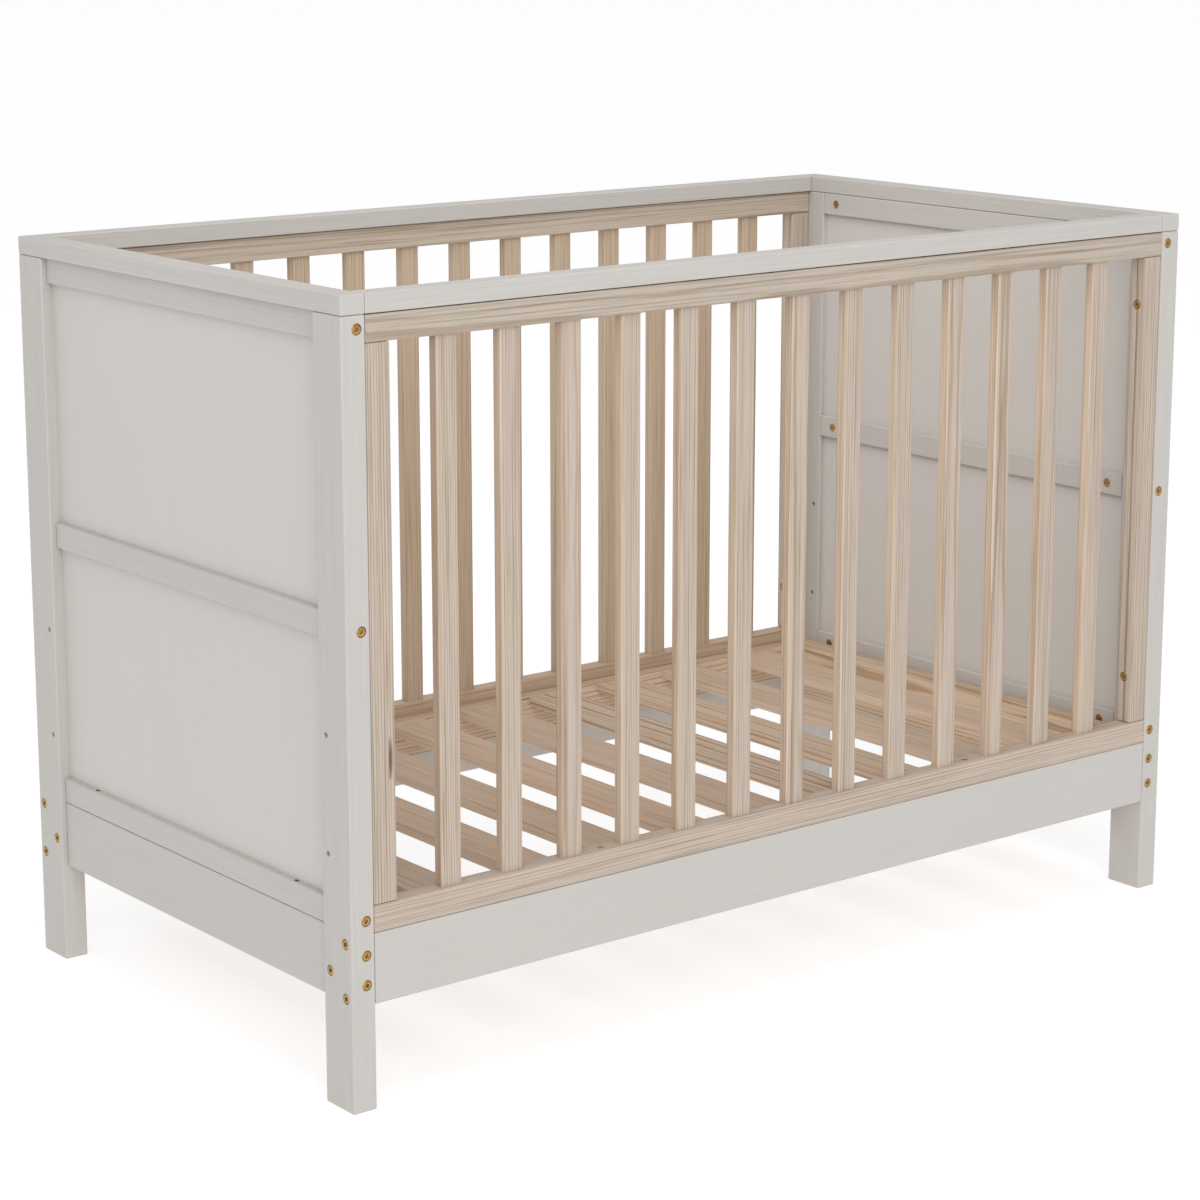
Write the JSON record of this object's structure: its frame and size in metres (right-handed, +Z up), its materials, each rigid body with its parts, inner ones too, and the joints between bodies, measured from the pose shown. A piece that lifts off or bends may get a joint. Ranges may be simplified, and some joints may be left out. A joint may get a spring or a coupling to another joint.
{
  "type": "baby crib",
  "caption": "Baby crib with painted framed ends, slatted natural pine sides and a slatted bed base that bolts to the posts at different heights.",
  "frame": {"origin": "on the floor at the centre of the footprint", "axes": "+X along the length from the left end to the right end, +Y from the front side to the back side, +Z up"},
  "size_m": [1.26, 0.68, 0.88],
  "materials": {
    "painted_cap": "satin paint over fine grain",
    "painted_post": "satin paint over fine grain",
    "painted_rail": "satin paint over fine grain",
    "painted_apron": "satin paint over fine grain",
    "painted_panel": "satin paint over fine grain",
    "pine_rail": "clear matt lacquer on pine",
    "pine_stile": "clear matt lacquer on pine",
    "pine_slat": "clear matt lacquer on pine",
    "pine_base": "clear matt lacquer on pine"
  },
  "bodies": {
    "crib_frame": {"left_end_cap": "painted_cap", "left_front_post": "painted_post", "left_back_post": "painted_post", "left_top_rail": "painted_rail", "left_middle_rail": "painted_rail", "left_lower_rail": "painted_rail", "left_end_apron": "painted_apron", "left_upper_panel": "painted_panel", "left_lower_panel": "painted_panel", "right_end_cap": "painted_cap", "right_front_post": "painted_post", "right_back_post": "painted_post", "right_top_rail": "painted_rail", "right_middle_rail": "painted_rail", "right_lower_rail": "painted_rail", "right_end_apron": "painted_apron", "right_upper_panel": "painted_panel", "right_lower_panel": "painted_panel", "front_side_cap": "painted_cap", "front_side_apron": "painted_apron", "front_top_rail": "pine_rail", "front_bottom_rail": "pine_rail", "front_left_stile": "pine_stile", "front_right_stile": "pine_stile", "front_slat_01": "pine_slat", "front_slat_02": "pine_slat", "front_slat_03": "pine_slat", "front_slat_04": "pine_slat", "front_slat_05": "pine_slat", "front_slat_06": "pine_slat", "front_slat_07": "pine_slat", "front_slat_08": "pine_slat", "front_slat_09": "pine_slat", "front_slat_10": "pine_slat", "front_slat_11": "pine_slat", "front_slat_12": "pine_slat", "front_slat_13": "pine_slat", "back_side_cap": "painted_cap", "back_side_apron": "painted_apron", "back_top_rail": "pine_rail", "back_bottom_rail": "pine_rail", "back_left_stile": "pine_stile", "back_right_stile": "pine_stile", "back_slat_01": "pine_slat", "back_slat_02": "pine_slat", "back_slat_03": "pine_slat", "back_slat_04": "pine_slat", "back_slat_05": "pine_slat", "back_slat_06": "pine_slat", "back_slat_07": "pine_slat", "back_slat_08": "pine_slat", "back_slat_09": "pine_slat", "back_slat_10": "pine_slat", "back_slat_11": "pine_slat", "back_slat_12": "pine_slat", "back_slat_13": "pine_slat"},
    "mattress_base": {"base_slat_deck": "pine_base", "base_left_end_rail": "pine_base", "base_right_end_rail": "pine_base"}
  },
  "joints": [
    {"name": "base_height", "type": "slide", "parent": "crib_frame", "child": "mattress_base", "axis": [0, 0, 1], "range_m": [0, 0.26]}
  ]
}
